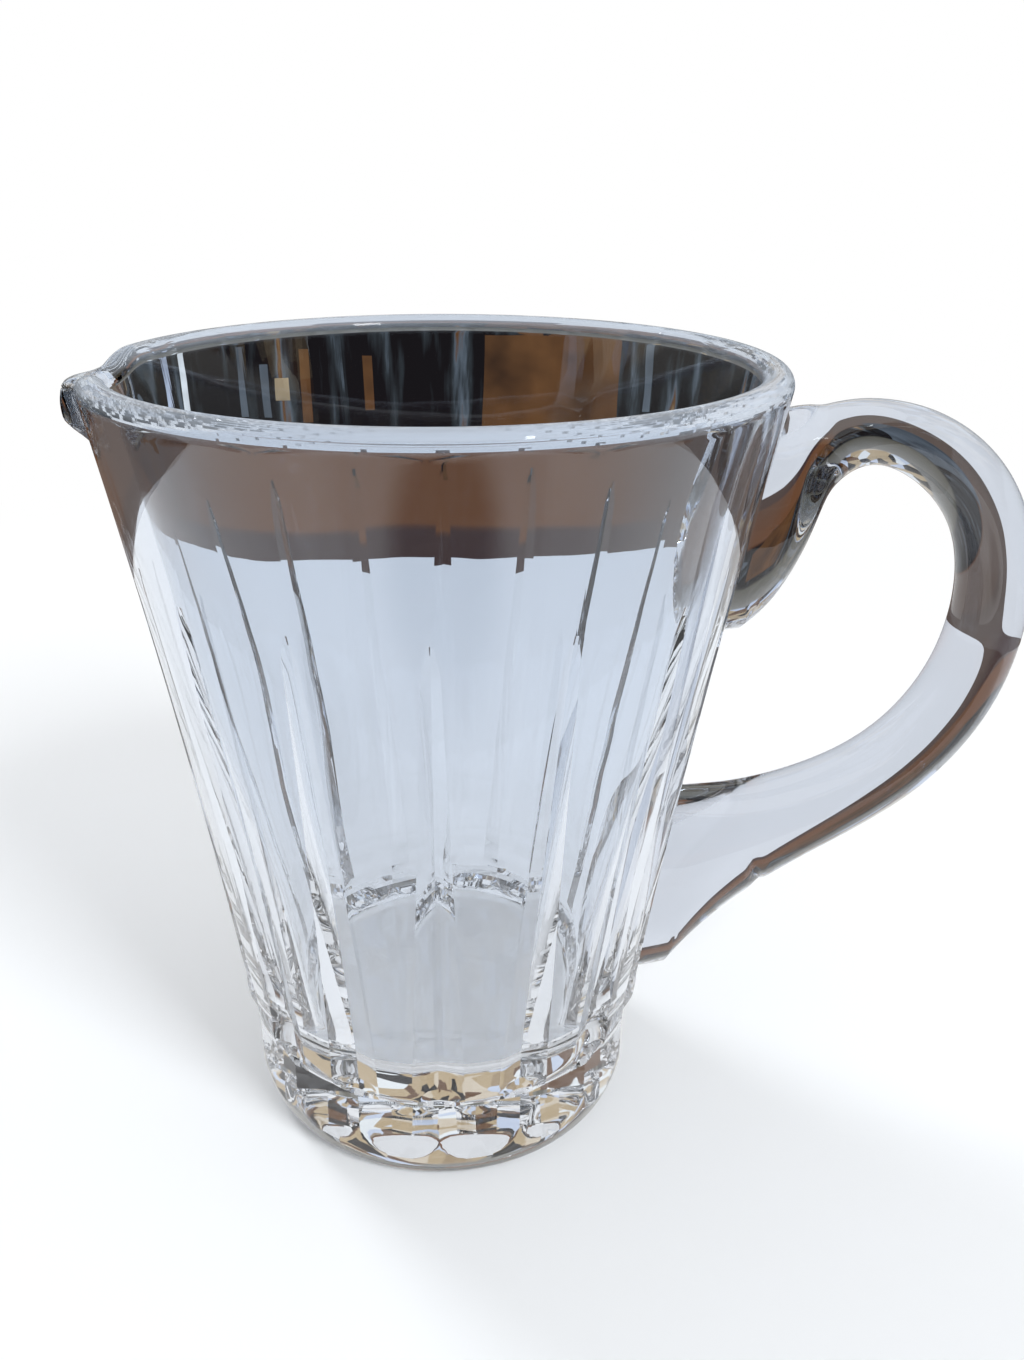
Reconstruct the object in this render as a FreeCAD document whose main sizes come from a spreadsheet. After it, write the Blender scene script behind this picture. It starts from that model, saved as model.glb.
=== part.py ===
import FreeCAD, Part
import math
import os
import Sketcher

# A cut-crystal jug: a thick flared body with a drawn lip, and a handle of
# clear glass applied to it while hot.
# The frame has +Z up, the origin on the jug's axis at the table, the handle
# on +X and the lip on -X. All lengths are in millimetres.

doc = FreeCAD.newDocument("crystal_jug")
dims = doc.addObject("Spreadsheet::Sheet", "dims")

SIZES = {
    # body
    "jug_height": 123.0,
    "rim_radius": 50.0,
    "rim_wall": 4.3,
    "rim_round": 1.7,
    "waist_radius": 33.6,
    "waist_height": 19.0,
    "wall_bow": 0.9,
    "floor_height": 18.0,
    "floor_radius": 25.5,
    "floor_round": 6.0,
    # drawn lip
    "lip_root_height": 110.0,
    "lip_root_width": 6.0,
    "lip_reach": 4.8,
    "lip_tip_radius": 8.0,
    "lip_blend_radius": 9.0,
    # foot and its flats
    "foot_radius": 32.8,
    "foot_height": 14.0,
    "foot_flat_depth": 0.6,
    "base_radius": 29.6,
    "base_round_height": 11.0,
    # long mitre cuts, and how far the marks are turned from the handle
    "cut_count": 16,
    "cut_turn": -3.4,
    "cut_tip_height": 97.0,
    "cut_foot_height": 16.0,
    "cut_tip_depth": 0.4,
    "cut_depth": 1.6,
    "cut_half_angle": 69.0,
    # handle
    "handle_top": 111.0,
    "handle_span": 73.0,
    "handle_reach": 43.7,
    "grip_top_thickness": 9.8,
    "grip_low_thickness": 12.4,
    "seal_top_height": 98.0,
    "seal_low_height": 34.0,
    "seal_radius": 10.5,
    "seal_tail": 18.0,
    "seal_cap": 14.0,
    # how far every cutting tool runs past the glass
    "overrun": 2.0,
}
for row, (alias, value) in enumerate(SIZES.items(), start=1):
    dims.set(f"A{row}", alias)
    dims.set(f"B{row}", str(value))
    dims.setAlias(f"B{row}", alias)
doc.recompute()

# The lip swells from nothing at its root to a full roll just under the rim.
# Each pair is a share of the lip's height and a share of its reach.
lip_growth_shares = [(0.28, 0.55), (0.56, 1.0), (1.0, 0.72)]

# The handle's centre line from the upper seal round to the lower one: shares
# of the reach past the wall at that height and of the drop below the arch,
# the heading in degrees from straight up, and the share of the way from the
# top thickness to the low one.
handle_path_shares = [
    (-0.08, 0.09, 64, 1.3),
    (0.19, 0.02, 75, 0.35),
    (0.39, 0.0, 92, 0.0),
    (0.56, 0.014, 110, 0.05),
    (0.73, 0.068, 133, 0.15),
    (0.89, 0.172, 151, 0.35),
    (1.0, 0.31, 170, 0.60),
    (1.04, 0.46, 187, 0.80),
    (1.0, 0.58, 205, 0.90),
    (0.91, 0.695, 222, 0.95),
    (0.77, 0.788, 235, 1.0),
    (0.58, 0.864, 243, 1.05),
    (0.36, 0.925, 247, 1.25),
    (0.1, 0.995, 249, 1.6),
]
grip_width_share = 1.16

# How full the drop of a seal is, half way down its tail.
drop_bulge_share = 0.82


def named(text):
    """Turns size names written as @name into references to the sheet."""
    return text.replace("@", "dims.")


def value(text):
    return float(dims.evalExpression(named(text)))


def wall_radius(height):
    """The body's outer radius at a height, a gentle flare, as an expression."""
    share = f"(({height} - @waist_height) / (@jug_height - @waist_height))"
    straight = f"(@waist_radius + (@rim_radius - @waist_radius) * {share})"
    return f"({straight} - 4 * @wall_bow * {share} * (1 - {share}))"


def cavity_radius(height):
    """The hollow's radius at a height, a straight cone, as an expression."""
    share = f"(({height} - @floor_height) / (@jug_height - @floor_height))"
    return f"(@floor_radius + (@rim_radius - @rim_wall - @floor_radius) * {share})"


def origin_item(body, role):
    """One of the body's own origin planes or axes."""
    return next(item for item in body.Origin.OriginFeatures if item.Role == role)


def new_sketch(body, name, role, offset=None, turn=None):
    """A sketch on one of the body's own planes, shifted and turned by expressions."""
    sketch = body.newObject("Sketcher::SketchObject", name)
    sketch.AttachmentSupport = [(origin_item(body, role), "")]
    sketch.MapMode = "FlatFace"
    if turn:
        axis, angle = turn
        sketch.AttachmentOffset = FreeCAD.Placement(FreeCAD.Vector(), FreeCAD.Rotation(axis, 1))
        sketch.setExpression("AttachmentOffset.Rotation.Angle", named(angle))
    for letter, text in zip("xyz", offset or ()):
        sketch.setExpression(f"AttachmentOffset.Base.{letter}", named(text))
    return sketch


def bind(sketch, kind, geometry, text):
    """Adds one dimension to a sketch and ties it to the sheet."""
    number = sketch.addConstraint(Sketcher.Constraint(kind, *geometry, value(text)))
    sketch.setExpression(f"Constraints[{number}]", named(text))


def closed_outline(sketch, corners, bulges=None):
    """Straight sides between bound corners; a bulge point makes its side an arc."""
    bulges = bulges or {}
    points = [FreeCAD.Vector(value(x), value(y)) for x, y in corners]
    for index, start in enumerate(points):
        end = points[(index + 1) % len(points)]
        if index in bulges:
            middle = FreeCAD.Vector(*(value(text) for text in bulges[index]))
            sketch.addGeometry(Part.Arc(start, middle, end))
        else:
            sketch.addGeometry(Part.LineSegment(start, end))
    starts = [start_end(sketch, index, point) for index, point in enumerate(points)]
    for index in range(len(points)):
        following = (index + 1) % len(points)
        last = 3 - starts[index]
        sketch.addConstraint(Sketcher.Constraint("Coincident", index, last, following, starts[following]))
    for index, (x, y) in enumerate(corners):
        bind(sketch, "DistanceX", (-1, 1, index, starts[index]), x)
        bind(sketch, "DistanceY", (-1, 1, index, starts[index]), y)
    for index, (x, y) in bulges.items():
        dot = sketch.addGeometry(Part.Point(FreeCAD.Vector(value(x), value(y))), True)
        bind(sketch, "DistanceX", (-1, 1, dot, 1), x)
        bind(sketch, "DistanceY", (-1, 1, dot, 1), y)
        sketch.addConstraint(Sketcher.Constraint("PointOnObject", dot, 1, index))


def start_end(sketch, index, point):
    """Which end of a side, 1 or 2, lies on the corner where the side starts."""
    return min((1, 2), key=lambda end: sketch.getPoint(index, end).distanceToPoint(point))


def lip_outline(sketch, radius, reach, inset):
    """A round of the jug with its lip on -X: four tangent arcs, drawn in by the inset."""
    tip_radius = f"(@lip_tip_radius - {inset})"
    blend_radius = f"(@lip_blend_radius + {inset})"
    round_radius = f"({radius} - {inset})"
    tip_centre = f"({radius} + {reach} - @lip_tip_radius)"
    far = value(f"{radius} + @lip_blend_radius")
    near = value("@lip_tip_radius + @lip_blend_radius")
    apart = value(tip_centre)
    along = (far**2 - near**2 + apart**2) / (2 * apart)
    aside = math.sqrt(far**2 - along**2)
    round_turn = math.atan2(aside, along)
    tip_turn = math.atan2(aside, along - apart)
    up = FreeCAD.Vector(0, 0, 1)
    half_turn = math.pi
    middle = FreeCAD.Vector()
    tip = FreeCAD.Vector(-apart, 0)
    left = FreeCAD.Vector(-along, aside)
    right = FreeCAD.Vector(-along, -aside)
    body_round = Part.Circle(middle, up, value(round_radius))
    tip_round = Part.Circle(tip, up, value(tip_radius))
    left_round = Part.Circle(left, up, value(blend_radius))
    right_round = Part.Circle(right, up, value(blend_radius))
    sketch.addGeometry(Part.ArcOfCircle(body_round, round_turn - half_turn, half_turn - round_turn))
    sketch.addGeometry(Part.ArcOfCircle(left_round, -tip_turn, -round_turn))
    sketch.addGeometry(Part.ArcOfCircle(tip_round, half_turn - tip_turn, half_turn + tip_turn))
    sketch.addGeometry(Part.ArcOfCircle(right_round, round_turn, tip_turn))
    for first, first_end, second, second_end in ((0, 2, 1, 2), (1, 1, 2, 1), (2, 2, 3, 2), (3, 1, 0, 1)):
        sketch.addConstraint(Sketcher.Constraint("Tangent", first, first_end, second, second_end))
    sketch.addConstraint(Sketcher.Constraint("Coincident", 0, 3, -1, 1))
    sketch.addConstraint(Sketcher.Constraint("PointOnObject", 2, 3, -1))
    bind(sketch, "Radius", (0,), round_radius)
    bind(sketch, "Radius", (1,), blend_radius)
    bind(sketch, "Radius", (2,), tip_radius)
    bind(sketch, "Radius", (3,), blend_radius)
    bind(sketch, "DistanceX", (2, 3, -1, 1), tip_centre)


def root_outline(sketch, radius):
    """The plain round where the lip starts, broken into the same four arcs."""
    wide = math.asin(value(f"@lip_root_width / 2 / {radius}"))
    narrow = math.asin(value(f"@lip_root_width / 4 / {radius}"))
    circle = Part.Circle(FreeCAD.Vector(), FreeCAD.Vector(0, 0, 1), value(radius))
    turns = [wide - math.pi, math.pi - wide, math.pi - narrow, math.pi + narrow, math.pi + wide]
    for start, end in zip(turns, turns[1:]):
        sketch.addGeometry(Part.ArcOfCircle(circle, start, end))
    for index in range(len(turns) - 1):
        sketch.addConstraint(Sketcher.Constraint("Coincident", index, 3, -1, 1))
    for index in range(len(turns) - 2):
        sketch.addConstraint(Sketcher.Constraint("Coincident", index, 2, index + 1, 1))
    bind(sketch, "Radius", (0,), radius)
    half = "@lip_root_width / 2"
    quarter = "@lip_root_width / 4"
    places = {(0, 1): f"-{half}", (1, 1): half, (2, 1): quarter, (3, 1): f"-{quarter}", (3, 2): f"-{half}"}
    for end, place in places.items():
        bind(sketch, "DistanceY", (-1, 1, *end), place)


def loft(body, name, kind, sections):
    feature = body.newObject(f"PartDesign::{kind}Loft", name)
    feature.Profile = sections[0]
    feature.Sections = sections[1:]
    return feature


def revolved(body, name, kind, sketch):
    feature = body.newObject(f"PartDesign::{kind}", name)
    feature.Profile = sketch
    feature.ReferenceAxis = (sketch, ["V_Axis"])
    feature.Angle = 360
    return feature


def polar_pattern(body, feature, name, skip):
    """Repeats a cut round the axis once per cutting mark, leaving out some marks."""
    pattern = body.newObject("PartDesign::PolarPattern", name)
    pattern.Originals = [feature]
    pattern.Axis = (origin_item(body, "Z_Axis"), [""])
    pattern.setExpression("Occurrences", named(f"@cut_count - {skip}"))
    pattern.setExpression("Angle", named(f"360 * (@cut_count - {skip} - {min(skip, 1)}) / @cut_count"))
    body.Tip = pattern
    return pattern


def cut_by(body, before):
    """Recomputes the body and makes sure that the last feature took glass away."""
    doc.recompute()
    after = body.Shape.Volume
    assert after < before, f"{body.Tip.Name} cuts nothing"
    return after


def turned_outline(sketch, heights):
    """Half of the body's round form from the table up through the given heights."""
    corners = [
        ("0", "0"),
        ("@base_radius", "0"),
        ("@foot_radius", "@base_round_height"),
        ("@foot_radius", "@foot_height"),
        ("@waist_radius", "@waist_height"),
    ]
    corners += [(wall_radius(height), height) for height in heights]
    corners.append(("0", heights[-1]))
    base_round = (
        "@base_radius + (@foot_radius - @base_radius) * sqrt(1 / 2)",
        "@base_round_height * (1 - sqrt(1 / 2))",
    )
    closed_outline(sketch, corners, {1: base_round})


# The body starts as a solid blank: the foot and the lower wall are turned.
jug = doc.addObject("PartDesign::Body", "jug_body")
jug.Label = "jug_body"
lower_middle = "((@waist_height + @lip_root_height) / 2)"
lower_heights = [lower_middle, "@lip_root_height"]
blank_sketch = new_sketch(jug, "blank_outline", "XZ_Plane")
turned_outline(blank_sketch, lower_heights)
revolved(jug, "turned_blank", "Revolution", blank_sketch)

# The upper wall carries the drawn lip, so it is lofted through rounds with a lip.
lip_height = "(@jug_height - @lip_root_height)"
upper_heights = [f"(@lip_root_height + {share} * {lip_height})" for share, _ in lip_growth_shares]
outer_rounds = [new_sketch(jug, "outer_round_0", "XY_Plane", ("0", "0", "@lip_root_height"))]
root_outline(outer_rounds[0], wall_radius("@lip_root_height"))
inner_rounds = [new_sketch(jug, "inner_round_0", "XY_Plane", ("0", "0", "@lip_root_height"))]
root_outline(inner_rounds[0], cavity_radius("@lip_root_height"))
for number, (height, (_, reach_share)) in enumerate(zip(upper_heights, lip_growth_shares), start=1):
    reach = f"({reach_share} * @lip_reach)"
    outer = new_sketch(jug, f"outer_round_{number}", "XY_Plane", ("0", "0", height))
    lip_outline(outer, wall_radius(height), reach, "0")
    outer_rounds.append(outer)
    inner = new_sketch(jug, f"inner_round_{number}", "XY_Plane", ("0", "0", height))
    lip_outline(inner, wall_radius(height), reach, f"({wall_radius(height)} - {cavity_radius(height)})")
    inner_rounds.append(inner)
loft(jug, "lipped_wall", "Additive", outer_rounds)
doc.recompute()
glass = jug.Shape.Volume

# The hollow: a turned cone with a rounded floor, and the lip's own channel above it.
hollow_sketch = new_sketch(jug, "hollow_outline", "XZ_Plane")
closed_outline(
    hollow_sketch,
    [
        ("0", "@floor_height"),
        ("@floor_radius - @floor_round", "@floor_height"),
        (cavity_radius("(@floor_height + @floor_round)"), "@floor_height + @floor_round"),
        (cavity_radius("@lip_root_height"), "@lip_root_height"),
        ("0", "@lip_root_height"),
    ],
    {
        1: (
            f"@floor_radius - @floor_round + ({cavity_radius('(@floor_height + @floor_round)')}"
            " - @floor_radius + @floor_round) * sqrt(1 / 2)",
            "@floor_height + @floor_round * (1 - sqrt(1 / 2))",
        ),
    },
)
revolved(jug, "hollow", "Groove", hollow_sketch)
glass = cut_by(jug, glass)
loft(jug, "lipped_hollow", "Subtractive", inner_rounds)
glass = cut_by(jug, glass)

# The rim is fire-polished round on both edges.
rim_edges = [
    f"Edge{number}"
    for number, edge in enumerate(jug.Shape.Edges, start=1)
    if edge.BoundBox.ZMin > value("@jug_height - @rim_round / 2")
]
unpolished = jug.Tip
rim = jug.newObject("PartDesign::Fillet", "rim_polish")
rim.Base = (unpolished, rim_edges)
rim.setExpression("Radius", named("@rim_round"))
glass = cut_by(jug, glass)

# The foot has one flat between each pair of cutting marks.
flat_sketch = new_sketch(
    jug, "foot_flat_outline", "XY_Plane", turn=(FreeCAD.Vector(0, 0, 1), "180 / @cut_count + @cut_turn")
)
flat_near = "@foot_radius - @foot_flat_depth"
flat_far = "@foot_radius + @overrun"
flat_half_width = "@foot_radius * sin(180 / @cut_count * 1 deg)"
closed_outline(
    flat_sketch,
    [
        (flat_near, f"-{flat_half_width}"),
        (flat_far, f"-{flat_half_width}"),
        (flat_far, flat_half_width),
        (flat_near, flat_half_width),
    ],
)
foot_flat = jug.newObject("PartDesign::Pocket", "foot_flat")
foot_flat.Profile = flat_sketch
foot_flat.Reversed = True
foot_flat.setExpression("Length", named("@foot_height"))
glass = cut_by(jug, glass)
polar_pattern(jug, foot_flat, "foot_flats", skip=0)
glass = cut_by(jug, glass)


def mitre_outline(sketch, edge, back):
    """The wheel's V: its edge at one radius, opening towards the back of the tool."""
    half = f"({back} - ({edge})) * tan(@cut_half_angle * 1 deg)"
    closed_outline(sketch, [(edge, "0"), (back, f"-{half}"), (back, half)])


# Long mitre cuts run down the wall: shallow at the tip, widest above the foot.
# The mark under the handle stays uncut.
first_mark = (FreeCAD.Vector(0, 0, 1), "360 / @cut_count + @cut_turn")
tool_back = f"{wall_radius('@cut_tip_height')} + @overrun"
cut_low = new_sketch(jug, "mitre_low", "XY_Plane", ("0", "0", "@cut_foot_height"), first_mark)
mitre_outline(cut_low, f"{wall_radius('@cut_foot_height')} - @cut_depth", tool_back)
cut_high = new_sketch(jug, "mitre_high", "XY_Plane", ("0", "0", "@cut_tip_height"), first_mark)
mitre_outline(cut_high, f"{wall_radius('@cut_tip_height')} - @cut_tip_depth", tool_back)
mitre = loft(jug, "mitre_cut", "Subtractive", [cut_low, cut_high])
glass = cut_by(jug, glass)
polar_pattern(jug, mitre, "mitre_cuts", skip=1)
glass = cut_by(jug, glass)

# The handle: one gather of glass, an oval rod between two drop-shaped seals.
gather = doc.addObject("PartDesign::Body", "gather")
rod_sections = []
for number, (reach_share, drop_share, heading, thick_share) in enumerate(handle_path_shares):
    height = f"(@handle_top - {drop_share} * @handle_span)"
    section = new_sketch(
        gather,
        f"rod_section_{number}",
        "XY_Plane",
        (f"{wall_radius(height)} + {reach_share} * @handle_reach", "0", height),
        (FreeCAD.Vector(0, 1, 0), str(heading)),
    )
    thick = f"(@grip_top_thickness + {thick_share} * (@grip_low_thickness - @grip_top_thickness))"
    wide = f"({thick} * {grip_width_share})"
    end_of_width = FreeCAD.Vector(0, value(wide) / 2)
    end_of_thickness = FreeCAD.Vector(value(thick) / 2, 0)
    section.addGeometry(Part.Ellipse(end_of_width, end_of_thickness, FreeCAD.Vector()))
    section.exposeInternalGeometry(0)
    section.addConstraint(Sketcher.Constraint("Coincident", 0, 3, -1, 1))
    section.addConstraint(Sketcher.Constraint("Vertical", 1))
    bind(section, "Distance", (1,), wide)
    bind(section, "Distance", (2,), thick)
    rod_sections.append(section)
loft(gather, "rod", "Additive", rod_sections)

# Each seal is a turned drop whose axis lies on the wall, its tail drawn downwards.
for name, height in (("upper_seal", "@seal_top_height"), ("lower_seal", "@seal_low_height")):
    rise = f"({wall_radius(f'({height} + @seal_cap)')} - {wall_radius(height)})"
    drop_sketch = new_sketch(
        gather,
        f"{name}_outline",
        "XZ_Plane",
        (wall_radius(height), height, "0"),
        (FreeCAD.Vector(0, 0, 1), f"-atan({rise} / @seal_cap)"),
    )
    closed_outline(
        drop_sketch,
        [("0", "-@seal_tail"), ("@seal_radius", "0"), ("0", "@seal_cap")],
        {
            0: (f"{drop_bulge_share} * @seal_radius", "-@seal_tail / 2"),
            1: ("@seal_radius * sqrt(1 / 2)", "@seal_cap * sqrt(1 / 2)"),
        },
    )
    revolved(gather, name, "Revolution", drop_sketch)
doc.recompute()

# The soft seals take the body's own curve where they meet it. The round form
# that shapes them runs on above the rim, past the crown of the upper seal.
seat = doc.addObject("PartDesign::Body", "seat_form")
seat_sketch = new_sketch(seat, "seat_outline", "XZ_Plane")
turned_outline(seat_sketch, lower_heights + upper_heights + ["(@jug_height + @seal_cap)"])
revolved(seat, "seat_round", "Revolution", seat_sketch)
doc.recompute()
handle = doc.addObject("Part::Cut", "handle")
handle.Label = "handle"
handle.Base = gather
handle.Tool = seat
doc.recompute()

for item in doc.Objects:
    assert not {"Invalid", "Error"} & set(item.State), f"{item.Name} failed: {item.State}"

os.makedirs("parts", exist_ok=True)
for node in (jug, handle):
    shape = node.Shape
    assert not shape.isNull() and shape.isValid(), f"{node.Label} has no valid shape"
    assert len(shape.Solids) == 1, f"{node.Label} is {len(shape.Solids)} solids"
    shape.exportStep(f"parts/{node.Label}.step")
    print(node.Label, "volume", round(shape.Volume / 1000, 1), "cm3", "box", shape.BoundBox)
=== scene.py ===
# %% [markdown]
# A cut-crystal jug, made in Blender.
# The jug is two pieces of clear crystal: a blown body with wheel cuts, and a
# handle put on hot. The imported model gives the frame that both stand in. This
# lesson dresses both with fine meshes, because glass shows every facet twice:
# once on its face and again through the wall.

# %% Load the frame
import math

import bmesh
import bpy
import numpy as np
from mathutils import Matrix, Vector


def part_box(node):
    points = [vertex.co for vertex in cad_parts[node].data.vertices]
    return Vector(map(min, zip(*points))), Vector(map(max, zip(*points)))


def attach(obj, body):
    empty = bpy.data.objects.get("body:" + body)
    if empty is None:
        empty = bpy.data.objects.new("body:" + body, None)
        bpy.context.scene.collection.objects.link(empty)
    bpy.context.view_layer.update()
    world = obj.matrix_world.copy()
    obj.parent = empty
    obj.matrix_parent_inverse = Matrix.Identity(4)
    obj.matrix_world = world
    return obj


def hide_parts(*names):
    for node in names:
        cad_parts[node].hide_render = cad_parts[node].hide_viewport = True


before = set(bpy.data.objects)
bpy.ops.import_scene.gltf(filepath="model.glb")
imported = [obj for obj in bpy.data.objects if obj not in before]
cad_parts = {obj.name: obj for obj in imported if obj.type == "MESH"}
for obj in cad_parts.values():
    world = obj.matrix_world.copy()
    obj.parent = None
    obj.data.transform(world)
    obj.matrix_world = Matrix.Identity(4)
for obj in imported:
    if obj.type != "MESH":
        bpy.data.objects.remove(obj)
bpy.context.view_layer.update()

# %% [markdown]
# Sizes.
# The frame's box gives the height. The rest are the sizes that a glass cutter
# would note on a drawing. They are written in millimetres here and turned into
# metres as the points of each mesh are made, since Blender's own unit is the
# metre.

# %% Sizes in millimetres
MM = 0.001
jug_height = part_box("jug_body")[1][2] / MM
rim_radius = 50.0
rim_wall = 4.3
waist_radius = 33.6
waist_height = 19.0
wall_bow = 0.9
floor_height = 18.0
floor_radius = 25.5
floor_round = 6.0
floor_dome = 0.5
foot_radius = 32.8
foot_top = 16.5
foot_flat_depth = 0.6
shoulder_height = 23.0
base_radius = 29.6
base_round = 11.0
cut_count = 16
cut_turn = math.radians(-3.4)
cut_tip = 97.0
cut_tip_run = 4.0
cut_tip_depth = 0.4
cut_foot = 16.0
cut_depth = 1.6
cut_slope = math.tan(math.radians(69))
lip_root = 110.0
lip_reach = 4.45
lip_half_angle = math.radians(9.5)
lip_lift = 1.7
dip_half_angle = math.radians(17)
dip_depth = 3.0
print("jug height", round(jug_height, 2), "mm, rim", rim_radius, "mm")

# %% [markdown]
# The round outline.
# The blower's wall is a gentle flare, a little hollow against a straight line.
# It rounds in above the foot. Short functions give the outer and the inner
# radius at a height, and every later piece asks them where the wall is, so the
# handle's seals land on the glass and not near it.

# %% Outer and inner radius
def wall_radius(height):
    share = (height - waist_height) / (jug_height - waist_height)
    straight = waist_radius + (rim_radius - waist_radius) * share
    return straight - 4 * wall_bow * share * (1 - share)


def outer_radius(height):
    """The body's round outline, with the shoulder that rounds in above the foot."""
    if height >= shoulder_height:
        return wall_radius(height)
    shoulder = wall_radius(shoulder_height)
    if height <= foot_top:
        return foot_radius
    share = (shoulder_height - height) / (shoulder_height - foot_top)
    return foot_radius + (shoulder - foot_radius) * math.sqrt(1 - share**2)


def hollow_radius(height):
    share = (height - floor_height) / (jug_height - floor_height)
    return floor_radius + (rim_radius - rim_wall - floor_radius) * share


for height in (foot_top, shoulder_height, cut_tip, jug_height):
    print("height", height, "outer", round(outer_radius(height), 2))

# %% [markdown]
# The drawn lip.
# While the rim was hot, one place was pulled out with a tool, and the soft
# glass rolled into a small round knob just under the rim. A sculpting brush
# could do that, but a formula keeps the wall sound: it moves the outer skin by
# the whole reach and the inner skin by a part of it, which makes the channel.
# The rim sinks a little behind the knob, and the knob's own skin lifts again.

# %% Lip
LIP_FULL_SHARE = 0.42
LIP_CURL = 1.2
CHANNEL_SHARE = math.cos(LIP_CURL)


def lip_growth(share):
    """How far the knob swells, from its root at 0 to the rim at 1."""
    if share < LIP_FULL_SHARE:
        return math.sin(math.pi / 2 * share / LIP_FULL_SHARE) ** 2
    return math.cos(LIP_CURL * (share - LIP_FULL_SHARE) / (1 - LIP_FULL_SHARE))


def draw_lip(x, y, z):
    side = abs(math.atan2(y, -x))
    if z <= lip_root or side >= dip_half_angle:
        return x, y, z
    share = (z - lip_root) / (jug_height - lip_root)
    dip = math.cos(side / dip_half_angle * math.pi / 2) ** 2
    across = math.cos(min(side / lip_half_angle, 1) * math.pi / 2) ** 2
    inner = hollow_radius(z)
    skin = min(max((math.hypot(x, y) - inner) / (outer_radius(z) - inner), 0.0), 1.0)
    pull = across * (skin * lip_growth(share) + (1 - skin) * CHANNEL_SHARE * share**2)
    lift = (lip_lift * across * skin - dip_depth * dip) * share**2
    return x - lip_reach * pull, y, z + lift


print("lip tip", [round(part, 1) for part in draw_lip(-rim_radius, 0, jug_height)])

# %% [markdown]
# Columns and rows.
# A plain lathe would need a boolean for each of the long cuts, and booleans
# leave ragged edges that glass shows.
# Instead the mesh is laid out like the cutter's marks: every sector has
# columns that follow the edges of its cut, so each facet has edges of its own.
# A row is a function that places one column of one sector.

# %% Columns of a sector
half_step = math.pi / cut_count
CUT_COLUMNS = 5
LAND_COLUMNS = 8
# The share of half a sector where its cut ends and the land starts.
CUT_EDGE = 0.5
land_run = 1 - CUT_EDGE
half_shares = [CUT_EDGE * step / CUT_COLUMNS for step in range(CUT_COLUMNS)]
half_shares += [CUT_EDGE + land_run * step / LAND_COLUMNS for step in range(LAND_COLUMNS)]
column_shares = [-1.0] + [-share for share in half_shares[:0:-1]] + half_shares
# The sector under the handle keeps a plain wall.
HANDLE_MARK = 0


def land_angle(side, edge):
    """The angle of a column from its sector's mark, for a cut that ends at the edge."""
    if side <= CUT_EDGE:
        return edge * side / CUT_EDGE
    return edge + (half_step - edge) * (side - CUT_EDGE) / land_run


def groove_depth(height):
    """How deep the long cut is at a height: pointed at its tip, run out at the foot."""
    if height >= cut_tip:
        return 0.0
    depth = cut_tip_depth + (cut_depth - cut_tip_depth) * (cut_tip - height) / (cut_tip - cut_foot)
    if height > cut_tip - cut_tip_run:
        depth *= math.sqrt((cut_tip - height) / cut_tip_run)
    if height < waist_height:
        depth *= math.sqrt(max(0.0, (height - cut_foot) / (waist_height - cut_foot)))
    return max(depth, 0.0)


print(len(column_shares), "columns in each of", cut_count, "sectors")

# %% [markdown]
# The rows of the outside.
# From the table upwards: the rounded base, the flats of the foot, the shoulder,
# and the long wall with its mitre cuts. The underside is taken to be flat.
# A mitre cut is a V, so its two sides are flat: they are straight lines from
# the valley to the edge, and the land between two cuts stays round.

# %% Rows of the outside
HAIR_ANGLE = math.radians(0.6)
FLARE_RUN = 5.0
BASE_ROWS = 16
FOOT_ROWS = 8
SHOULDER_ROWS = 14
WALL_ROWS = 68
LIP_ROWS = 20
flat_radius = foot_radius - foot_flat_depth
foot_edge = cut_depth * cut_slope / foot_radius


def polar(radius, angle, height):
    return radius * math.cos(angle), radius * math.sin(angle), height


def foot_limit(radius, angle):
    """The flats of the foot meet under the long cuts, so their corners lie on the marks."""
    return min(radius, flat_radius / math.cos(half_step - abs(angle)))


def foot_row(radius, height):
    def place(share, mark):
        angle = math.copysign(land_angle(abs(share), foot_edge), share)
        return polar(foot_limit(radius, angle), angle, height)

    return place


def wall_row(height):
    radius = outer_radius(height)
    depth = groove_depth(height)
    wide = max(groove_depth(max(height, waist_height)) * cut_slope / radius, HAIR_ANGLE)

    def place(share, mark):
        side = abs(share)
        angle = land_angle(side, wide)
        if side >= CUT_EDGE or mark == HANDLE_MARK:
            x, y, z = polar(radius, angle, height)
        else:
            along = side / CUT_EDGE
            edge_x, edge_y, z = polar(radius, wide, height)
            x = (1 - along) * (radius - depth) + along * edge_x
            y = along * edge_y
        return x, math.copysign(y, share), z

    return place


rim_bead = rim_wall / 2
flare = math.atan((rim_radius - wall_radius(jug_height - FLARE_RUN)) / FLARE_RUN)
bead_height = jug_height - rim_bead
bead_foot = bead_height - rim_bead * math.sin(flare)
rows = []
for turn in np.linspace(0, math.pi / 2, BASE_ROWS):
    radius = base_radius + (foot_radius - base_radius) * math.sin(turn)
    rows.append(foot_row(radius, base_round * (1 - math.cos(turn))))
for height in np.linspace(base_round, foot_top, FOOT_ROWS)[1:-1]:
    rows.append(foot_row(foot_radius, height))
wall_runs = (
    (foot_top, shoulder_height, SHOULDER_ROWS),
    (shoulder_height, lip_root, WALL_ROWS),
    (lip_root, bead_foot, LIP_ROWS),
)
for low, high, count in wall_runs:
    rows += [wall_row(height) for height in np.linspace(low, high, count)[:-1]]
print(len(rows), "rows outside")

# %% [markdown]
# The rim and the hollow.
# The rim was melted round at the fire, so it is a round bead from the outer
# skin to the inner one. The hollow is a smooth cone down to a rounded floor.
# A blown skin is never quite even: a ripple of about a tenth of a millimetre
# on the inside bends what is seen through the wall, as in the real glass.

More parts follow.
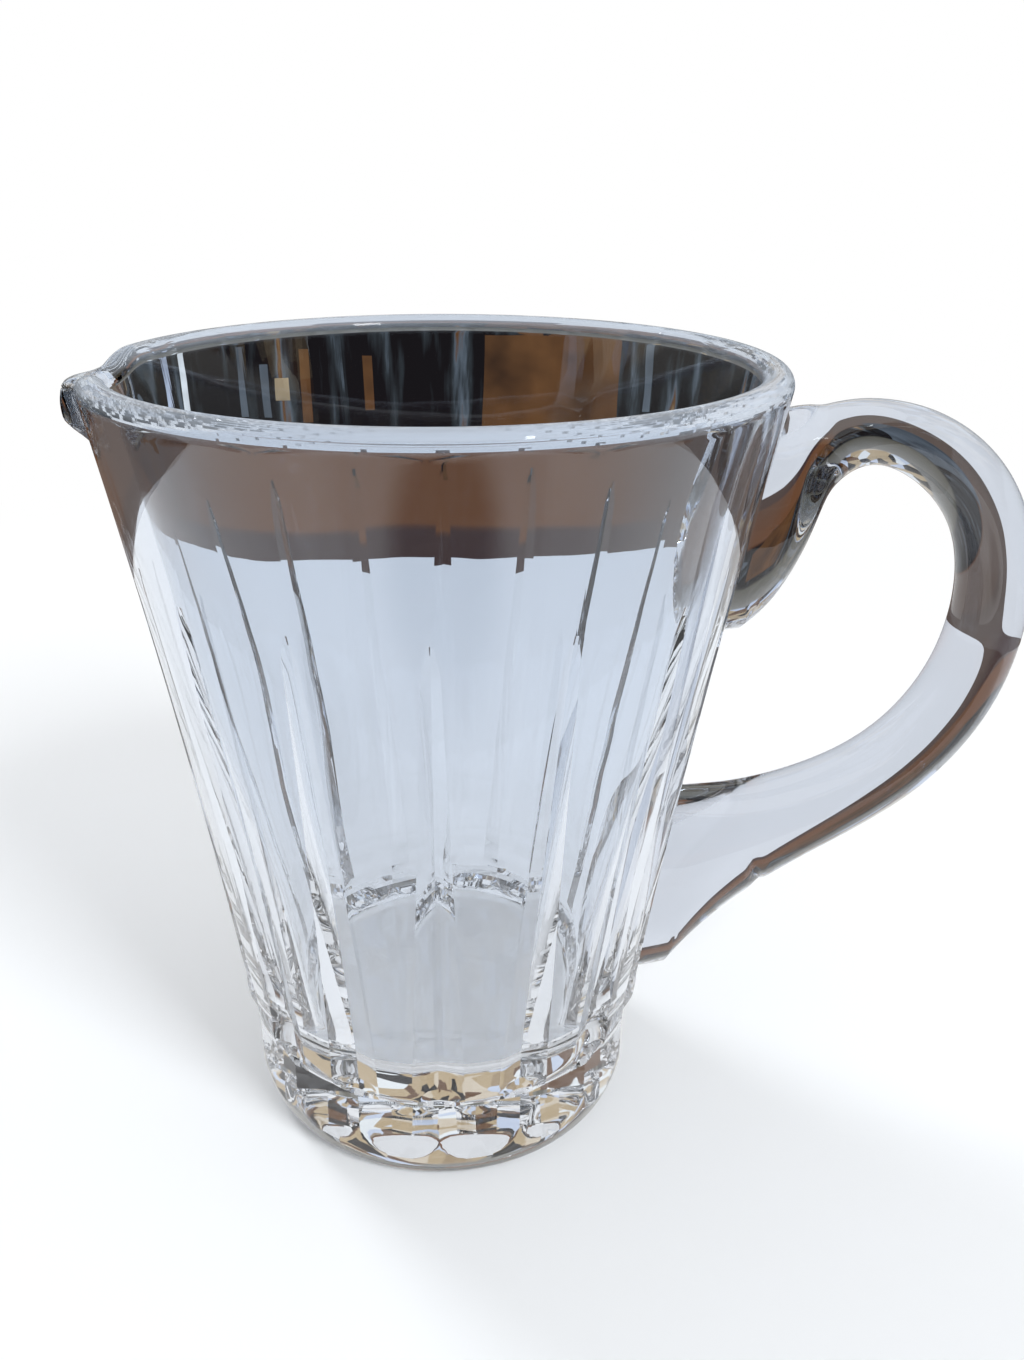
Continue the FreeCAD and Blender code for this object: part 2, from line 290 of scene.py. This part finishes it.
# %% Rows of the rim and the hollow
RIPPLE = 0.07
first_waves, first_rise = 5, 9
second_waves, second_rise = 9, 13
SECOND_START = 1.3
SECOND_SHARE = 0.6
BEAD_ROWS = 26
HOLLOW_ROWS = 50
ROUND_ROWS = 12
FLOOR_ROWS = 12
FLOOR_MIDDLE_SHARE = 0.06


def ripple(angle, height):
    """Two slow waves that wind round the hollow, the second one shallower."""
    first = math.sin(first_waves * angle + height / first_rise)
    second = math.sin(second_waves * angle - height / second_rise + SECOND_START)
    return RIPPLE * (first + SECOND_SHARE * second)


def plain_row(radius, height, uneven=0.0):
    edge = half_step / 2

    def place(share, mark):
        angle = math.copysign(land_angle(abs(share), edge), share)
        turn = 2 * half_step * mark + cut_turn + angle
        return polar(radius + uneven * ripple(turn, height), angle, height)

    return place


bead_radius = wall_radius(bead_height) - rim_bead / math.cos(flare)
for turn in np.linspace(-flare, math.pi + flare, BEAD_ROWS):
    radius = bead_radius + rim_bead * math.cos(turn)
    rows.append(plain_row(radius, bead_height + rim_bead * math.sin(turn)))
inner_end = floor_height + floor_round
inner_top_radius = bead_radius - rim_bead * math.cos(flare)
for share in np.linspace(0, 1, HOLLOW_ROWS)[1:]:
    height = bead_foot + (inner_end - bead_foot) * share
    radius = inner_top_radius + (hollow_radius(inner_end) - inner_top_radius) * share
    rows.append(plain_row(radius, height, math.sin(math.pi * share)))
round_centre = hollow_radius(inner_end) - floor_round
for turn in np.linspace(0, math.pi / 2, ROUND_ROWS)[1:]:
    radius = round_centre + floor_round * math.cos(turn)
    rows.append(plain_row(radius, inner_end - floor_round * math.sin(turn)))
for share in np.linspace(1, FLOOR_MIDDLE_SHARE, FLOOR_ROWS)[1:]:
    rows.append(plain_row(round_centre * share, floor_height + floor_dome * (1 - share**2)))
print(len(rows), "rows in all")

# %% [markdown]
# One closed skin.
# All rows are joined into a single closed mesh, with one point at the middle
# of the underside and one at the middle of the floor. Edges that turn by more
# than a few degrees are marked sharp, so that the facets stay crisp while the
# blown faces shade smoothly.

# %% Build the body
SHARP_TURN = math.radians(8)


def ring_points(row):
    points = []
    for mark in range(cut_count):
        turn = 2 * half_step * mark + cut_turn
        for share in column_shares:
            x, y, z = row(share, mark)
            turned_x = x * math.cos(turn) - y * math.sin(turn)
            turned_y = x * math.sin(turn) + y * math.cos(turn)
            points.append(draw_lip(turned_x, turned_y, z))
    return points


def closed_mesh(name, rings, first, last):
    """Joins rings of points into a tube and closes it with a point at each end."""
    bm = bmesh.new()
    bands = [[bm.verts.new(Vector(point) * MM) for point in ring] for ring in rings]
    for low, high in zip(bands, bands[1:]):
        for index in range(len(low)):
            after = (index + 1) % len(low)
            bm.faces.new((low[index], low[after], high[after], high[index]))
    for ring, tip in ((bands[0], first), (bands[-1], last)):
        pole = bm.verts.new(Vector(tip) * MM)
        for index in range(len(ring)):
            bm.faces.new((ring[index], ring[(index + 1) % len(ring)], pole))
    bmesh.ops.recalc_face_normals(bm, faces=bm.faces)
    for face in bm.faces:
        face.smooth = True
    mesh = bpy.data.meshes.new(name)
    bm.to_mesh(mesh)
    bm.free()
    piece = bpy.data.objects.new(name, mesh)
    bpy.context.scene.collection.objects.link(piece)
    return piece


body_rings = [ring_points(row) for row in rows]
jug_body = closed_mesh("cut_body", body_rings, (0, 0, 0), (0, 0, floor_height + floor_dome))
jug_body.data.set_sharp_from_angle(angle=SHARP_TURN)
print("body faces", len(jug_body.data.polygons))

# %% [markdown]
# The handle.
# The handle is one gather of hot glass: dropped on the wall under the rim,
# pulled out into a rod, looped and pressed on again low down. It is made as a
# row of oval ribs, each with its place, its heading and its two widths. A
# smooth curve through the ribs gives the skin, much as a boat is faired. The
# first and the last rib lie on the wall itself.

# %% Ribs of the handle
# Each rib: place along X and Z, heading in degrees from straight up, thickness, width.
handle_ribs = [
    (48.0, 97.5, 97.0, 34.5, 18.0),
    (52.0, 100.0, 96.0, 31.0, 17.0),
    (55.5, 104.0, 96.0, 23.0, 15.5),
    (58.0, 108.5, 96.0, 14.5, 13.5),
    (62.0, 111.0, 96.0, 10.5, 12.5),
    (71.5, 110.0, 107.0, 10.0, 11.5),
    (84.0, 99.0, 148.0, 11.0, 12.0),
    (87.5, 84.0, 178.0, 11.0, 13.0),
    (84.5, 69.0, 204.0, 11.5, 13.5),
    (75.5, 56.5, 228.0, 12.0, 14.0),
    (63.0, 48.5, 246.0, 14.0, 14.5),
    (51.5, 43.0, 261.0, 19.0, 16.0),
    (43.0, 38.0, 270.0, 28.0, 17.0),
    (38.5, 34.5, 272.0, 35.0, 17.5),
]
RIB_SAMPLES = 180
RIB_POINTS = 72
PINCH_PLACE = 119.0
PINCH_LENGTH = 0.9
PINCH_DEPTH = 1.1
SEAT_SHARES = (0.25, 0.5, 0.75)
HANDLE_SHARP_TURN = math.radians(40)


def smooth_curve(knots, columns, places):
    """A natural cubic through the columns at the knots, read at the places."""
    knots = np.asarray(knots, float)
    columns = np.asarray(columns, float)
    steps = np.diff(knots)
    count = len(knots)
    system = np.eye(count)
    change = np.zeros_like(columns)
    slopes = np.diff(columns, axis=0) / steps[:, None]
    for index in range(1, count - 1):
        system[index, index - 1 : index + 2] = (
            steps[index - 1],
            2 * (steps[index - 1] + steps[index]),
            steps[index],
        )
        change[index] = 6 * (slopes[index] - slopes[index - 1])
    bend = np.linalg.solve(system, change)
    rows_out = []
    for place in places:
        index = min(np.searchsorted(knots, place, side="right") - 1, count - 2)
        step = steps[index]
        after = (place - knots[index]) / step
        before = 1 - after
        lift = ((before**3 - before) * bend[index] + (after**3 - after) * bend[index + 1]) * step**2 / 6
        rows_out.append(before * columns[index] + after * columns[index + 1] + lift)
    return np.array(rows_out)


def on_wall(y, height):
    return math.sqrt(outer_radius(height) ** 2 - y**2)


def rib_ring(rib, seated, pinch=0.0):
    """The points of one rib. A pinch presses its outer side in, as the tongs did."""
    place_x, place_z, heading, thick, wide = rib
    lean = math.radians(heading)
    points = []
    for turn in np.linspace(0, 2 * math.pi, RIB_POINTS, endpoint=False):
        out = thick / 2 * math.cos(turn) - pinch * max(0.0, math.cos(turn)) ** 2
        y = wide / 2 * math.sin(turn)
        x = place_x - out * math.cos(lean)
        z = place_z + out * math.sin(lean)
        points.append((on_wall(y, z) if seated else x, y, z))
    return points


def seat_rings(rib, shares):
    """Smaller rounds inside a seated rib, for the face that lies on the wall."""
    place_x, place_z, heading, thick, wide = rib
    return [rib_ring((place_x, place_z, heading, thick * share, wide * share), True) for share in shares]


rib_steps = np.diff([rib[:2] for rib in handle_ribs], axis=0)
knots = np.concatenate(([0.0], np.cumsum(np.hypot(rib_steps[:, 0], rib_steps[:, 1]))))
places = np.linspace(0, knots[-1], RIB_SAMPLES + 1)
ribs = smooth_curve(knots, handle_ribs, places)
handle_rings = seat_rings(ribs[0], SEAT_SHARES)
for place, rib in zip(places, ribs):
    pinch = PINCH_DEPTH * math.exp(-(((place - PINCH_PLACE) / PINCH_LENGTH) ** 2))
    handle_rings.append(rib_ring(rib, place in (places[0], places[-1]), pinch))
handle_rings += seat_rings(ribs[-1], SEAT_SHARES[::-1])
seat_middles = [(on_wall(0, ribs[end][1]), 0, ribs[end][1]) for end in (0, -1)]
handle = closed_mesh("loop_handle", handle_rings, *seat_middles)
handle.data.set_sharp_from_angle(angle=HANDLE_SHARP_TURN)
print("handle faces", len(handle.data.polygons))

# %% [markdown]
# Writing shader maths.
# A socket wrapped in a small class can be added and multiplied like a number,
# and each operation adds its Math node. Everything else comes from one method
# that makes a node, sets it up, and fills its sockets. A few short helpers give
# names to what the materials below use again and again.

# %% A class for sockets
class Shade:
    """One output socket of a node tree."""

    def __init__(self, tree, socket=None):
        self.tree = tree
        self.socket = socket

    def node(self, kind, settings=None, sockets=None, output=0):
        made = self.tree.nodes.new(kind)
        settings = dict(settings or {})
        for place, colour in settings.pop("stops", []):
            stop = made.color_ramp.elements.new(place)
            stop.color = (*colour, 1)
        if made.bl_idname == "ShaderNodeValToRGB":
            for unused in (0, -1):
                made.color_ramp.elements.remove(made.color_ramp.elements[unused])
        for name, setting in settings.items():
            setattr(made, name, setting)
        for name, entry in (sockets or {}).items():
            if isinstance(entry, Shade):
                self.tree.links.new(entry.socket, made.inputs[name])
            else:
                made.inputs[name].default_value = entry
        return Shade(self.tree, made.outputs[output] if made.outputs else None)

    def math(self, operation, first, second=0.0):
        return self.node("ShaderNodeMath", {"operation": operation}, {0: first, 1: second})

    def __add__(self, other):
        return self.math("ADD", self, other)

    def __radd__(self, other):
        return self.math("ADD", other, self)

    def __sub__(self, other):
        return self.math("SUBTRACT", self, other)

    def __rsub__(self, other):
        return self.math("SUBTRACT", other, self)

    def __mul__(self, other):
        return self.math("MULTIPLY", self, other)

    def __rmul__(self, other):
        return self.math("MULTIPLY", other, self)

    def __truediv__(self, other):
        return self.math("DIVIDE", self, other)

    def __rtruediv__(self, other):
        return self.math("DIVIDE", other, self)


print("class", Shade.__name__)

# %% Helpers for materials
WHITE = (1.0, 1.0, 1.0)


def new_material(name):
    material = bpy.data.materials.new(name)
    material.use_nodes = True
    material.node_tree.nodes.clear()
    return material, Shade(material.node_tree)


def split(vector, axis):
    return vector.node("ShaderNodeSeparateXYZ", sockets={"Vector": vector}, output=axis)


def rise(value, first, last, kind="SMOOTHSTEP"):
    """Goes from zero at the first value to one at the last, and stays there."""
    bounds = {"Value": value, "From Min": first, "From Max": last}
    return value.node("ShaderNodeMapRange", {"interpolation_type": kind}, bounds)


def blend(factor, first, second):
    """The first colour where the factor is zero, and the second where it is one."""
    sides = [(*side, 1) if isinstance(side, tuple) else side for side in (first, second)]
    sockets = {"Factor": factor, 6: sides[0], 7: sides[1]}
    return factor.node("ShaderNodeMix", {"data_type": "RGBA"}, sockets, output=2)


def shine(colour):
    """Ends a material with a surface that glows in the colour."""
    glow = colour.node("ShaderNodeEmission", sockets={"Color": colour, "Strength": 1.0})
    colour.node("ShaderNodeOutputMaterial", sockets={"Surface": glow})


print("helpers", [helper.__name__ for helper in (split, rise, blend, shine)])

# %% [markdown]
# Crystal.
# Crystal glass is heavy and clear, with a high index that throws strong
# sparkle. A Glass shader would do, but the Principled one carries the same
# values to other programs. The faint cool tint is what the photograph shows
# through two walls. Fine smears change the gloss, and a very shallow bump
# stands for the uneven skin of blown glass. The near rim looks milky because
# its highlights are blurred there, though the glass itself is clear. A little
# pale diffuse is mixed in at the top of the body as a painted, blurred highlight.

# %% Crystal material
CRYSTAL_INDEX = 1.54
SMEAR_SCALE = 60.0
SMEAR_ROUGHNESS = 0.016
# Where and in what pale colour the painted, blurred highlight of the rim is mixed in.
RIM_HIGHLIGHT_START, RIM_HIGHLIGHT_FULL = 0.974, 0.994
RIM_HIGHLIGHT_PALE = (0.47, 0.52, 0.59)


def crystal(name, low_tint, high_tint, skin_scale, skin_depth, rim_highlight=0.0):
    material, start = new_material(name)
    spot = start.node("ShaderNodeTexCoord", output="Object")
    height = split(spot, "Z") / (jug_height * MM)
    smear = start.node("ShaderNodeTexNoise", sockets={"Vector": spot, "Scale": SMEAR_SCALE, "Detail": 4.0})
    skin = start.node("ShaderNodeTexNoise", sockets={"Vector": spot, "Scale": skin_scale, "Detail": 1.0})
    bump_sockets = {"Height": skin, "Strength": 1.0, "Distance": skin_depth}
    surface = start.node(
        "ShaderNodeBsdfPrincipled",
        sockets={
            "Base Color": blend(height, low_tint, high_tint),
            "Roughness": smear * SMEAR_ROUGHNESS,
            "IOR": CRYSTAL_INDEX,
            "Transmission Weight": 1.0,
            "Normal": start.node("ShaderNodeBump", sockets=bump_sockets),
        },
    )
    # A pale diffuse at the top of the rim: a painted, blurred highlight, not a haze in the glass.
    if rim_highlight:
        rim_highlight_mask = rise(height, RIM_HIGHLIGHT_START, RIM_HIGHLIGHT_FULL) * rim_highlight
        pale = start.node("ShaderNodeBsdfDiffuse", sockets={"Color": (*RIM_HIGHLIGHT_PALE, 1)})
        surface = start.node("ShaderNodeMixShader", sockets={0: rim_highlight_mask, 1: surface, 2: pale})
    start.node("ShaderNodeOutputMaterial", sockets={"Surface": surface})
    return material


body_crystal = crystal(
    "cut_crystal",
    low_tint=(0.845, 0.87, 0.905),
    high_tint=(0.73, 0.79, 0.875),
    skin_scale=90.0,
    skin_depth=0.00002,
    rim_highlight=0.40,
)
handle_crystal = crystal(
    "drawn_crystal",
    low_tint=(0.665, 0.705, 0.78),
    high_tint=(0.66, 0.70, 0.77),
    skin_scale=70.0,
    skin_depth=0.00005,
)
print("crystal", body_crystal.name, handle_crystal.name)

# %% [markdown]
# The fused seams.
# Where the hot handle touched the wall, the two pieces became one glass and
# light passes straight on. Two separate skins would mirror there, so the seat
# faces of the handle, and the same patch of the wall, get a clear material.

# %% Seams
SEAT_GAP = 0.05
SEAT_FACING = -0.5
under_seats = floor_height * MM / 2
seam, seam_start = new_material("fused_seam")
clear = seam_start.node("ShaderNodeBsdfTransparent")
seam_start.node("ShaderNodeOutputMaterial", sockets={"Surface": clear})


def in_seat(point, rib):
    """True where a point of the wall lies under a seated rib."""
    place_x, place_z, heading, thick, wide = rib
    x, y, z = (part / MM for part in point)
    across = y / (wide / 2)
    along = (z - place_z) / (thick / 2 * math.sin(math.radians(heading)))
    outside = math.hypot(x, y) > (outer_radius(z) + hollow_radius(z)) / 2
    return x > 0 and outside and across**2 + along**2 < 1


for piece, glass in ((jug_body, body_crystal), (handle, handle_crystal)):
    piece.data.materials.append(glass)
    piece.data.materials.append(seam)
seats = (ribs[0], ribs[-1])
for face in jug_body.data.polygons:
    if under_seats < face.center.z and any(in_seat(face.center, rib) for rib in seats):
        face.material_index = 1
for face in handle.data.polygons:
    x, y, z = (part / MM for part in face.center)
    on_seat = abs(math.hypot(x, y) - outer_radius(z)) < SEAT_GAP and face.normal.x < SEAT_FACING
    face.material_index = int(on_seat)
print("seam faces", sum(face.material_index for face in jug_body.data.polygons))

# %% [markdown]
# Tie the pieces to the frame.
# Nothing on this jug moves, so both pieces ride on the one body, and each
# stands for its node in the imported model.

# %% Ride and replace
for piece, node in ((jug_body, "jug_body"), (handle, "handle")):
    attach(piece, "root")
    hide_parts(node)
print("pieces tied")

# %% [markdown]
# The floor.
# Glass has no colour of its own: it shows the room. The floor is a pale table
# under a soft light. A plain white one would be enough for other objects, but
# here it also has to glow a little where it is seen through the glass, and to
# fade into the white of the picture further off. The kind of ray decides.

# %% Floor
FLOOR_GAP = 0.0002
FLOOR_SIZE = 6.0
FLOOR_PALE = (0.90, 0.90, 0.905)
FADE_START, FADE_END = 0.12, 0.42
UNDER_GLOW = 0.5


def rays(start, *kinds):
    """One for rays of the named kinds, and zero for the others."""
    total = 0.0
    for kind in kinds:
        total = start.node("ShaderNodeLightPath", output=f"Is {kind} Ray") + total
    return start.math("MINIMUM", total, 1.0)


half = FLOOR_SIZE / 2
sides = ((-half, -half), (half, -half), (half, half), (-half, half))
mesh = bpy.data.meshes.new("floor")
mesh.from_pydata([(x, y, -FLOOR_GAP) for x, y in sides], [], [(0, 1, 2, 3)])
floor = bpy.data.objects.new("floor", mesh)
bpy.context.scene.collection.objects.link(floor)
floor_paint, start = new_material("pale_floor")
spot = start.node("ShaderNodeNewGeometry", output="Position")
away = start.node("ShaderNodeVectorMath", {"operation": "LENGTH"}, {0: spot}, output="Value")
far = rise(away, FADE_START, FADE_END)
matt = start.node("ShaderNodeBsdfDiffuse", sockets={"Color": (*FLOOR_PALE, 1)})
glow = start.node("ShaderNodeEmission", sockets={"Color": (*WHITE, 1), "Strength": 1.0})
through_glass = far * (1 - UNDER_GLOW) + UNDER_GLOW
white = far * rays(start, "Camera") + through_glass * rays(start, "Glossy", "Transmission")
both = start.node("ShaderNodeMixShader", sockets={0: white, 1: matt, 2: glow})
start.node("ShaderNodeOutputMaterial", sockets={"Surface": both})
floor.data.materials.append(floor_paint)
print("floor", FLOOR_SIZE, "m")

# %% [markdown]
# The room's ring.
# Glass photographers stand dark cards around the set, outside the picture, to
# draw the edges. Here a ring stands right round the jug, seen only in and
# through the glass. A painted picture of a room could be hung there, but a few
# bands by height are enough: brown at the table, streaks on a dark shelf above
# it, then olive, then a patchwork of dark, warm and pale panes.

# %% Flags
FLAG_RADIUS = 0.27
FLAG_HEIGHT = 0.40
FLAG_STEP = math.radians(3.75)


def flag(name, radii, turns, heights, paint):
    """A curved card between two angles and two heights, seen only in and through the glass."""
    first, last = (math.radians(turn) for turn in turns)
    steps = max(1, round((last - first) / FLAG_STEP))
    mesh = bpy.data.meshes.new(name)
    points = []
    for turn in np.linspace(first, last, steps + 1):
        points += [polar(radius, turn, height) for radius, height in zip(radii, heights)]
    mesh.from_pydata(points, [], [(2 * i, 2 * i + 2, 2 * i + 3, 2 * i + 1) for i in range(steps)])
    mesh.materials.append(paint)
    card = bpy.data.objects.new(name, mesh)
    bpy.context.scene.collection.objects.link(card)
    card.visible_camera = False
    card.visible_diffuse = False
    card.visible_shadow = False


print("flags in steps of", round(math.degrees(FLAG_STEP), 2), "degrees")

# %% Colours of the room
SHADOW_BROWN = (0.085, 0.050, 0.045)
WARM_BROWN = (0.22, 0.095, 0.045)
GREY_BROWN = (0.17, 0.14, 0.125)
SIDE_BROWN = (0.17, 0.135, 0.115)
ROOM_DARK = (0.012, 0.010, 0.011)
OLIVE = (0.15, 0.14, 0.11)
WOOD = (0.15, 0.068, 0.026)
GOLD = (0.56, 0.43, 0.26)
CREAM = (0.76, 0.66, 0.52)
PALE_SKY = (0.66, 0.74, 0.90)
WINDOW = (0.95, 0.99, 1.0)
SLATE = (0.13, 0.155, 0.18)
DIM_SLATE = (0.04, 0.046, 0.05)


def ramp(value, *stops):
    return value.node("ShaderNodeValToRGB", {"stops": stops}, {"Fac": value})


def within(value, low, high):
    """One between two pairs of values, with a short straight run at each."""
    return rise(value, *low, "LINEAR") * (1 - rise(value, *high, "LINEAR"))


print("from the dark of the room", ROOM_DARK, "to its window", WINDOW)

# %% The ring's table and shelf
TABLE_TOP = (0.046, 0.048)
LEFT_RUN = (-0.06, -0.15)
RIGHT_RUN = (0.065, 0.135)
SIDE_SHARE = 0.9
SHELF_LOW = (0.049, 0.053)
SHELF_HIGH = (0.094, 0.098)
STREAK_TURN = 9.0
STREAK_RISE = 4.0

room, start = new_material("room_flag")
spot = start.node("ShaderNodeNewGeometry", output="Position")
level = split(spot, "Z")
turn = start.math("ARCTAN2", split(spot, "Y"), split(spot, "X"))
view = ramp(
    level / FLAG_HEIGHT,
    (0.0, SHADOW_BROWN),
    (0.030, SHADOW_BROWN),
    (0.034, WARM_BROWN),
    (0.115, WARM_BROWN),
    (0.125, ROOM_DARK),
    (0.245, ROOM_DARK),
    (0.260, OLIVE),
    (1.0, OLIVE),
)
low = 1 - rise(level, *TABLE_TOP, "LINEAR")
for run, colour in ((LEFT_RUN, GREY_BROWN), (RIGHT_RUN, SIDE_BROWN)):
    view = blend(rise(split(spot, "X"), *run) * low * SIDE_SHARE, view, colour)
across = start.node("ShaderNodeCombineXYZ", sockets={"X": turn * STREAK_TURN, "Y": level * STREAK_RISE})
streaks = start.node("ShaderNodeTexNoise", sockets={"Vector": across, "Scale": 3.0, "Detail": 5.0})
shelf = ramp(
    streaks,
    (0.0, ROOM_DARK),
    (0.50, ROOM_DARK),
    (0.57, DIM_SLATE),
    (0.62, SLATE),
    (0.66, WOOD),
    (0.74, GOLD),
)
view = blend(within(level, SHELF_LOW, SHELF_HIGH), view, shelf)
print("shelf from", SHELF_LOW[0], "to", SHELF_HIGH[1], "m")

# %% The ring's patchwork
PATCH_START = (0.158, 0.164)
PATCH_SCALE = 30.0

place = start.node("ShaderNodeCombineXYZ", sockets={"X": turn * FLAG_RADIUS, "Y": level})
cells = start.node(
    "ShaderNodeTexVoronoi",
    {"voronoi_dimensions": "2D"},
    {"Vector": place, "Scale": PATCH_SCALE},
    output="Color",
)
patch = ramp(
    split(cells, "X"),
    (0.0, ROOM_DARK),
    (0.20, ROOM_DARK),
    (0.205, WOOD),
    (0.38, WOOD),
    (0.385, GOLD),
    (0.54, GOLD),
    (0.545, CREAM),
    (0.68, CREAM),
    (0.685, PALE_SKY),
    (0.90, PALE_SKY),
    (0.905, WINDOW),
)
shine(blend(rise(level, *PATCH_START, "LINEAR"), view, patch))
flag("room_ring", (FLAG_RADIUS, FLAG_RADIUS), (-180, 180), (0.0, FLAG_HEIGHT), room)
print("ring", FLAG_RADIUS, "m round")

# %% [markdown]
# Cards.
# The far wall of the mouth shows narrow bright and dark things that stand
# behind the jug. Each could be modelled, but the glass shows no more than a
# strip of it, so each is a card just inside the ring. A wide dark one stands
# behind the camera.

# %% Cards
CARD_RADIUS = 0.265
GRAIN_SCALE = 70.0
GRAIN_GAIN = 1.7


def card_paint(name, colour):
    paint, start = new_material(name)
    spot = start.node("ShaderNodeNewGeometry", output="Position")
    grain = start.node("ShaderNodeTexNoise", sockets={"Vector": spot, "Scale": GRAIN_SCALE, "Detail": 2.0})
    shine(blend(grain, ROOM_DARK, tuple(GRAIN_GAIN * part for part in colour)))
    return paint


# Each card: the angles it stands between, its lower and upper edge, and its colour.
cards = {
    "slate_card": ((46.0, 55.0), (0.044, 0.100), SLATE),
    "right_window": ((69.5, 70.2), (0.062, 0.088), SLATE),
    "wood_card": ((72.4, 84.0), (0.044, 0.089), WOOD),
    "cream_strip": ((93.4, 94.2), (0.062, 0.082), WOOD),
    "second_strip": ((98.6, 99.4), (0.058, 0.084), WOOD),
    "small_pane": ((100.4, 101.6), (0.066, 0.074), GOLD),
    "other_pane": ((102.1, 102.8), (0.060, 0.079), SLATE),
    "left_window": ((104.2, 104.8), (0.060, 0.086), SLATE),
    "next_window": ((109.9, 110.5), (0.052, 0.092), WINDOW),
    "far_window": ((111.8, 112.3), (0.058, 0.088), PALE_SKY),
    "last_window": ((115.0, 117.5), (0.062, 0.084), SLATE),
    "tan_card": ((120.5, 128.0), (0.044, 0.074), WOOD),
    "camera_card": ((215.0, 325.0), (0.105, 0.280), ROOM_DARK),
}
for name, (turns, heights, colour) in cards.items():
    flag(name, (CARD_RADIUS, CARD_RADIUS), turns, heights, card_paint(name, colour))
print(len(cards), "cards")

# %% [markdown]
# Painted shade in front.
# The glass also picks up the table in front of the jug, and a grey shows
# there that a white table wouldn't give. That grey is shade. Instead of a
# shadow it is painted on a small grey sheet that fades at its edge, which is
# easier to place. It too is seen only in and through the glass.

# %% Painted shade in front
SHADE_SHEET_GREY = (0.12, 0.11, 0.11)
SHADE_SHEET_EDGE = (0.9, 0.9, 0.9)
SHADE_SHEET_MIDDLE = (0.0, -0.18, 0.0)
SHADE_SHEET_RUN = (0.035, 0.072)
SHADE_SHEET_RADII = (0.108, 0.252)
SHADE_SHEET_TURNS = (238, 302)
SHADE_SHEET_HEIGHT = 0.001

# The painted shade: grey in the middle, fading to near white at its edge.
shade_sheet, start = new_material("front_painted_shade")
spot = start.node("ShaderNodeNewGeometry", output="Position")
ends = {0: spot, 1: SHADE_SHEET_MIDDLE}
away = start.node("ShaderNodeVectorMath", {"operation": "DISTANCE"}, ends, output="Value")
shine(blend(rise(away, *SHADE_SHEET_RUN), SHADE_SHEET_GREY, SHADE_SHEET_EDGE))
flag("front_painted_shade", SHADE_SHEET_RADII, SHADE_SHEET_TURNS, (SHADE_SHEET_HEIGHT, SHADE_SHEET_HEIGHT), shade_sheet)
print("shade_sheet", SHADE_SHEET_MIDDLE)

# %% [markdown]
# Light.
# The photograph has soft light from all round and no hard shadow. An even sky
# does most of it. It is pure white where it is seen, in the picture or in the
# glass, and a little dimmer as a light. Two wide windows add the sparkle.

# %% Light
SKY_COLOUR = (0.98, 0.99, 1.0)
SKY_STRENGTH = 0.66
DAYLIGHT = (0.93, 0.97, 1.0)

world = bpy.data.worlds.new("studio")
bpy.context.scene.world = world
world.use_nodes = True
world.node_tree.nodes.clear()
start = Shade(world.node_tree)
soft = start.node("ShaderNodeBackground", sockets={"Color": (*SKY_COLOUR, 1), "Strength": SKY_STRENGTH})
white = start.node("ShaderNodeBackground", sockets={"Color": (*WHITE, 1), "Strength": 1.0})
seen = rays(start, "Camera", "Glossy", "Transmission")
sky = start.node("ShaderNodeMixShader", sockets={0: seen, 1: soft, 2: white})
start.node("ShaderNodeOutputWorld", sockets={"Surface": sky})


def window(name, place, aim, size, power):
    lamp = bpy.data.lights.new(name, "AREA")
    lamp.shape = "RECTANGLE"
    lamp.size, lamp.size_y = size
    lamp.energy = power
    lamp.color = DAYLIGHT
    holder = bpy.data.objects.new(name, lamp)
    holder.location = place
    holder.rotation_euler = (Vector(aim) - Vector(place)).to_track_quat("-Z", "Y").to_euler()
    bpy.context.scene.collection.objects.link(holder)


middle = (0, 0, jug_height * MM / 2)
window("key_window", (0.55, -0.75, 0.85), middle, size=(0.35, 0.5), power=9.0)
window("back_window", (-0.7, 0.8, 0.8), middle, size=(0.3, 0.6), power=6.0)

# %% [markdown]
# The camera.
# The photograph was taken from close by and a little above the rim, which
# makes the mouth look wide and the foot small. The place and the lens come
# from fitting the rim, the base and the handle to the picture.

# %% Camera
IMAGE_WIDTH, IMAGE_HEIGHT = 1024, 1360
focal_pixels = 1200.0
camera_distance = 0.17412
camera_height = 0.14992
camera_turn = math.radians(-2.0)
camera_yaw = -0.0253
camera_pitch = -0.417
axis_pixel = 467.46
lens = bpy.data.cameras.new("camera")
lens.sensor_width = 36.0
lens.lens = lens.sensor_width * focal_pixels / IMAGE_HEIGHT
lens.shift_x = (IMAGE_WIDTH / 2 - axis_pixel) / IMAGE_HEIGHT
lens.clip_start = 0.01
camera = bpy.data.objects.new("camera", lens)
camera.location = (
    camera_distance * math.sin(camera_turn),
    -camera_distance * math.cos(camera_turn),
    camera_height,
)
camera.rotation_euler = (math.pi / 2 + camera_pitch, 0, camera_yaw + camera_turn)
bpy.context.scene.collection.objects.link(camera)
bpy.context.scene.camera = camera
print("camera at", [round(part, 4) for part in camera.location])

# %% [markdown]
# Finish.
# Clear glass needs many bounces, because a ray that enters the foot may turn
# inside it a dozen times. The colours are shown as they are, with the standard
# view.

# %% Finish
scene = bpy.context.scene
scene.view_settings.view_transform = "Standard"
scene.cycles.max_bounces = 32
scene.cycles.transmission_bounces = 32
scene.cycles.glossy_bounces = 16
scene.cycles.transparent_max_bounces = 16
